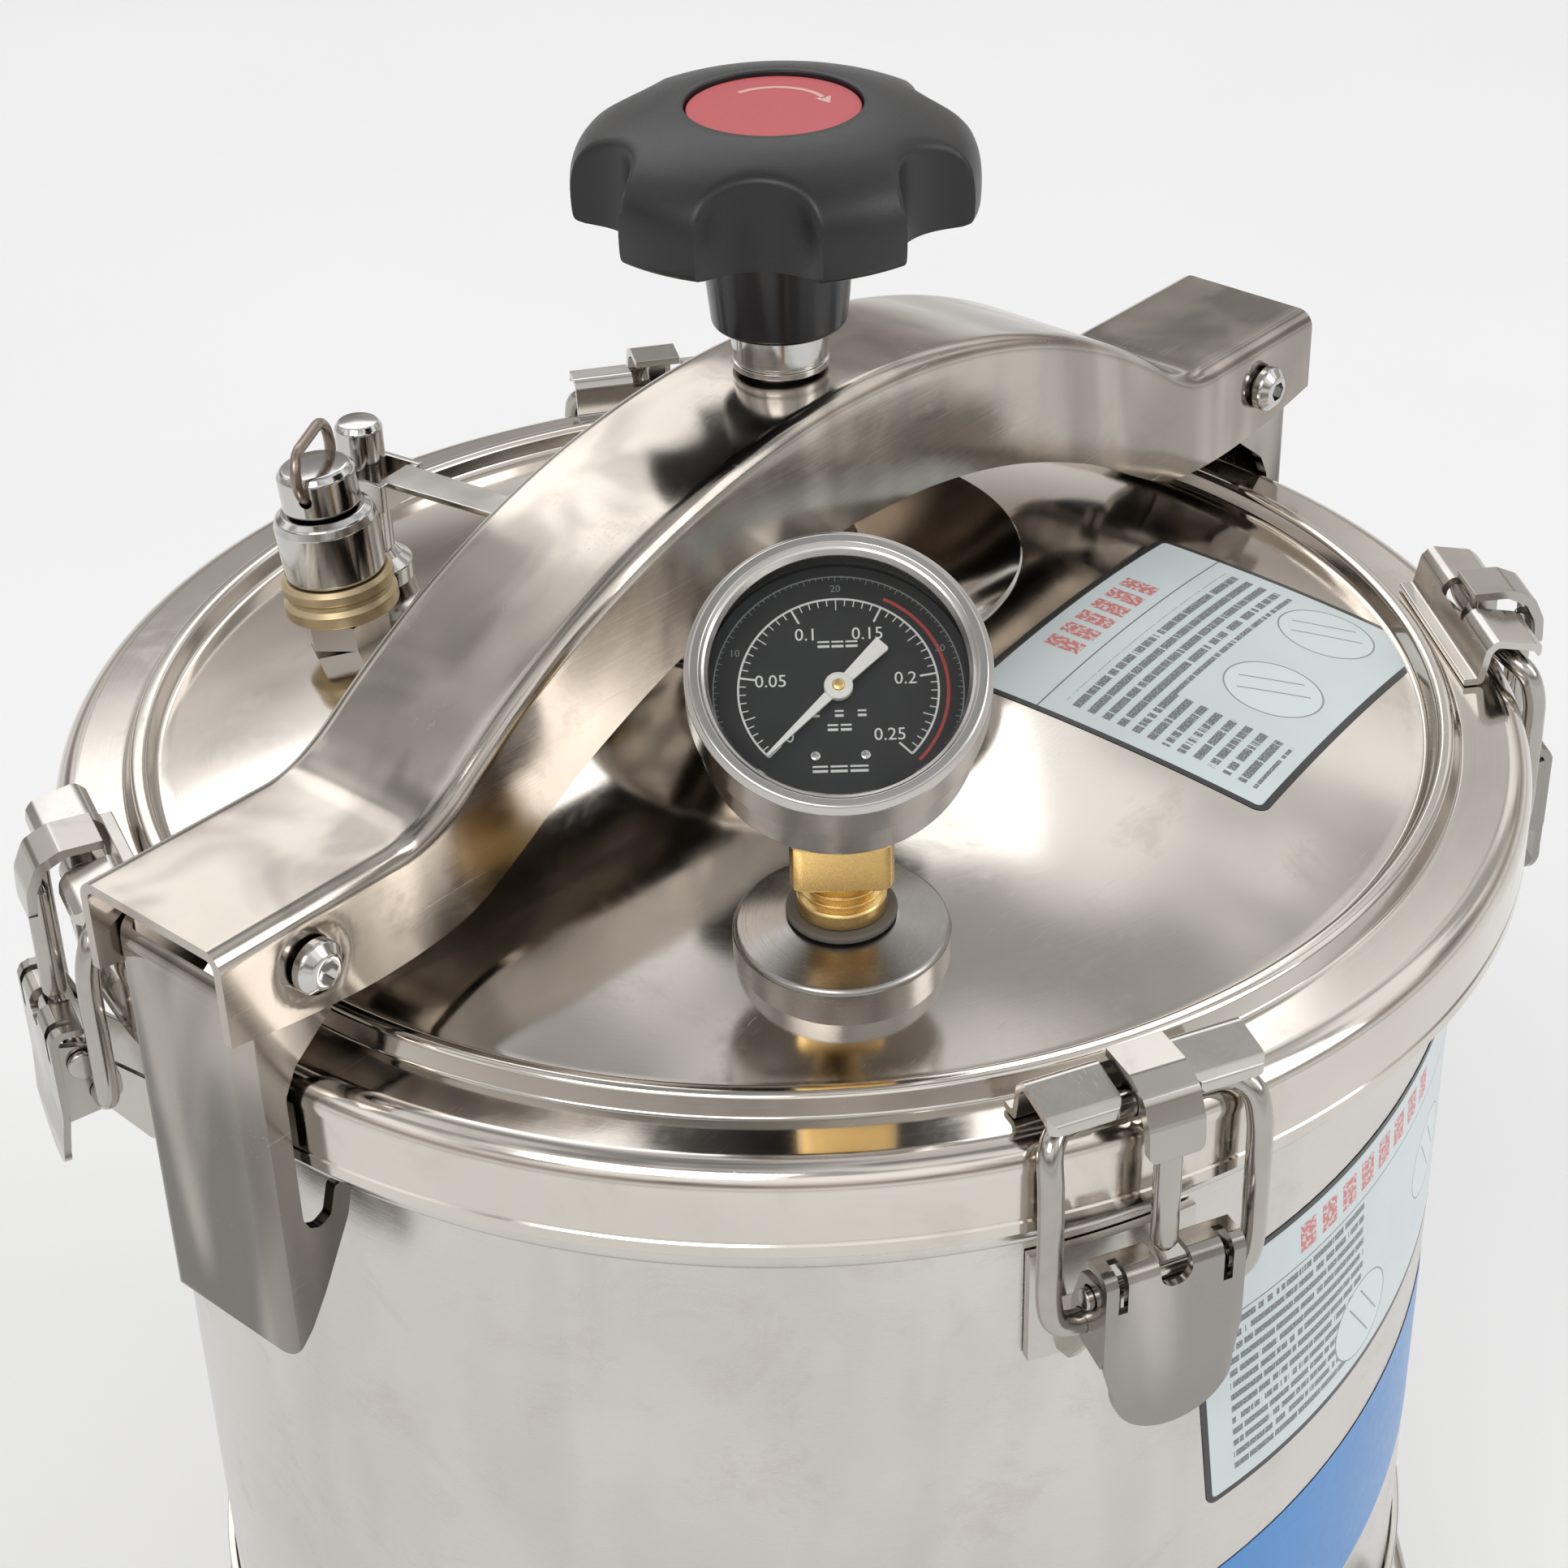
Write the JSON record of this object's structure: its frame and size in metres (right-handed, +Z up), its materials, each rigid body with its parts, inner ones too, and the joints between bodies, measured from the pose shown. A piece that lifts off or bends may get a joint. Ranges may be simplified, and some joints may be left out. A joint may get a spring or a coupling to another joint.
{
  "type": "pressure canner",
  "caption": "Deep round pressure canner with a latched lid held down by a screw clamp beam, with a pressure gauge, a safety valve and a vent valve.",
  "frame": {"origin": "centre of the underside of the base plate, on the pot's axis", "axes": "+Z up along the pot's axis, X along the clamp beam with the near arm at -X"},
  "size_m": [0.358, 0.335, 0.5013],
  "materials": {
    "polished_steel": "mirror polished with fine scratches",
    "satin_steel": "satin",
    "wire_steel": "drawn bright",
    "chrome_parts": "bright",
    "brass_parts": "machined",
    "black_plastic": "fine texture",
    "red_plastic": "satin",
    "gasket_rubber": "matte",
    "gauge_glass": "clear",
    "dial_paint": "matte printed",
    "needle_paint": "matte"
  },
  "bodies": {
    "pot": {"base_plate": "satin_steel", "pot_shell": "satin_steel", "canning_rack": "satin_steel", "valve_hex_base": "satin_steel", "handle_mount_left": "satin_steel", "handle_mount_right": "satin_steel", "lid_shell": "polished_steel", "clamp_beam": "polished_steel", "lid_gasket": "gasket_rubber", "gauge_washer": "gasket_rubber", "valve_spring": "wire_steel", "beam_bolt_near": "chrome_parts", "beam_bolt_far": "chrome_parts", "beam_nut_near": "chrome_parts", "beam_nut_far": "chrome_parts", "gauge_flange": "chrome_parts", "gauge_case": "chrome_parts", "gauge_bezel": "chrome_parts", "valve_body": "chrome_parts", "vent_valve": "chrome_parts", "gauge_stem": "brass_parts", "valve_seat": "brass_parts", "gauge_glass": "gauge_glass", "gauge_dial": "dial_paint", "latch_strike_1": "polished_steel", "latch_base_1": "satin_steel", "latch_pin_1": "wire_steel", "latch_strike_2": "polished_steel", "latch_base_2": "satin_steel", "latch_pin_2": "wire_steel", "latch_strike_3": "polished_steel", "latch_base_3": "satin_steel", "latch_pin_3": "wire_steel", "latch_strike_4": "polished_steel", "latch_base_4": "satin_steel", "latch_pin_4": "wire_steel"},
    "press_plate": {"pressure_plate": "polished_steel"},
    "screw": {"spindle": "chrome_parts", "knob": "black_plastic", "knob_cap": "red_plastic"},
    "arm_near": {"clamp_arm_near": "polished_steel"},
    "arm_far": {"clamp_arm_far": "polished_steel"},
    "needle": {"gauge_needle": "needle_paint"},
    "plunger": {"valve_plunger": "chrome_parts"},
    "pull_ring": {"valve_pull_ring": "wire_steel"},
    "vent_lever": {"vent_lever": "polished_steel"},
    "handle_left": {"side_handle_left": "wire_steel"},
    "handle_right": {"side_handle_right": "wire_steel"},
    "lever_1": {"latch_lever_1": "polished_steel"},
    "bail_1": {"latch_bail_1": "wire_steel", "latch_hook_1": "satin_steel"},
    "lever_2": {"latch_lever_2": "polished_steel"},
    "bail_2": {"latch_bail_2": "wire_steel", "latch_hook_2": "satin_steel"},
    "lever_3": {"latch_lever_3": "polished_steel"},
    "bail_3": {"latch_bail_3": "wire_steel", "latch_hook_3": "satin_steel"},
    "lever_4": {"latch_lever_4": "polished_steel"},
    "bail_4": {"latch_bail_4": "wire_steel", "latch_hook_4": "satin_steel"}
  },
  "joints": [
    {"name": "plate_press", "type": "slide", "parent": "pot", "child": "press_plate", "axis": [0, 0, 1], "range_m": [0, 0.006]},
    {"name": "knob_turn", "type": "hinge", "parent": "press_plate", "child": "screw", "pos_m": [0, 0, 0.4159], "axis": [0, 0, 1], "range_deg": [0, 1080]},
    {"name": "arm_near_swing", "type": "hinge", "parent": "pot", "child": "arm_near", "pos_m": [-0.158, 0, 0.3844], "axis": [0, 1, 0], "range_deg": [0, 30]},
    {"name": "arm_far_swing", "type": "hinge", "parent": "pot", "child": "arm_far", "pos_m": [0.158, 0, 0.3844], "axis": [0, -1, 0], "range_deg": [0, 30]},
    {"name": "lever_1_swing", "type": "hinge", "parent": "pot", "child": "lever_1", "pos_m": [-0.07269, -0.15588, 0.3259], "axis": [-0.9063, 0.4226, 0], "range_deg": [0, 90]},
    {"name": "bail_1_swing", "type": "hinge", "parent": "lever_1", "child": "bail_1", "pos_m": [-0.07142, -0.15317, 0.3179], "axis": [-0.9063, 0.4226, 0], "range_deg": [-113, 0]},
    {"name": "lever_2_swing", "type": "hinge", "parent": "pot", "child": "lever_2", "pos_m": [0.13176, -0.11056, 0.3259], "axis": [-0.6428, -0.766, 0], "range_deg": [0, 90]},
    {"name": "bail_2_swing", "type": "hinge", "parent": "lever_2", "child": "bail_2", "pos_m": [0.12946, -0.10863, 0.3179], "axis": [-0.6428, -0.766, 0], "range_deg": [-113, 0]},
    {"name": "lever_3_swing", "type": "hinge", "parent": "pot", "child": "lever_3", "pos_m": [0.1011, 0.13915, 0.3259], "axis": [0.809, -0.5878, 0], "range_deg": [0, 90]},
    {"name": "bail_3_swing", "type": "hinge", "parent": "lever_3", "child": "bail_3", "pos_m": [0.09934, 0.13672, 0.3179], "axis": [0.809, -0.5878, 0], "range_deg": [-113, 0]},
    {"name": "lever_4_swing", "type": "hinge", "parent": "pot", "child": "lever_4", "pos_m": [-0.15713, 0.06996, 0.3259], "axis": [0.4067, 0.9135, 0], "range_deg": [0, 90]},
    {"name": "bail_4_swing", "type": "hinge", "parent": "lever_4", "child": "bail_4", "pos_m": [-0.15439, 0.06874, 0.3179], "axis": [0.4067, 0.9135, 0], "range_deg": [-113, 0]},
    {"name": "needle_turn", "type": "hinge", "parent": "pot", "child": "needle", "pos_m": [-0.07758, -0.08197, 0.4303], "axis": [0.4263, 0.3838, -0.8192], "range_deg": [0, 270]},
    {"name": "valve_lift", "type": "slide", "parent": "pot", "child": "plunger", "axis": [-0.0436, 0.0755, 0.9962], "range_m": [0, 0.003], "stiffness_N_per_m": 300, "deforming": ["valve_spring"]},
    {"name": "pull_ring_swing", "type": "hinge", "parent": "plunger", "child": "pull_ring", "pos_m": [-0.05368, 0.09297, 0.40603], "axis": [-0.866, -0.5, 0], "range_deg": [-85, 85]},
    {"name": "vent_lever_swing", "type": "hinge", "parent": "pot", "child": "vent_lever", "pos_m": [-0.02977, 0.1059, 0.39446], "axis": [-0.9903, -0.1392, 0], "range_deg": [0, 30]},
    {"name": "handle_left_swing", "type": "hinge", "parent": "pot", "child": "handle_left", "pos_m": [-0.10773, 0.11965, 0.1149], "axis": [0.7431, 0.6691, 0], "range_deg": [0, 95]},
    {"name": "handle_right_swing", "type": "hinge", "parent": "pot", "child": "handle_right", "pos_m": [0.10773, -0.11965, 0.1149], "axis": [-0.7431, -0.6691, 0], "range_deg": [0, 95]}
  ],
  "couplings": [
    {"joint": "plate_press", "follows": "knob_turn", "m_per_rad": 0.000318},
    {"joint": "bail_1_swing", "follows": "lever_1_swing", "ratio": -1.25},
    {"joint": "bail_2_swing", "follows": "lever_2_swing", "ratio": -1.25},
    {"joint": "bail_3_swing", "follows": "lever_3_swing", "ratio": -1.25},
    {"joint": "bail_4_swing", "follows": "lever_4_swing", "ratio": -1.25}
  ]
}
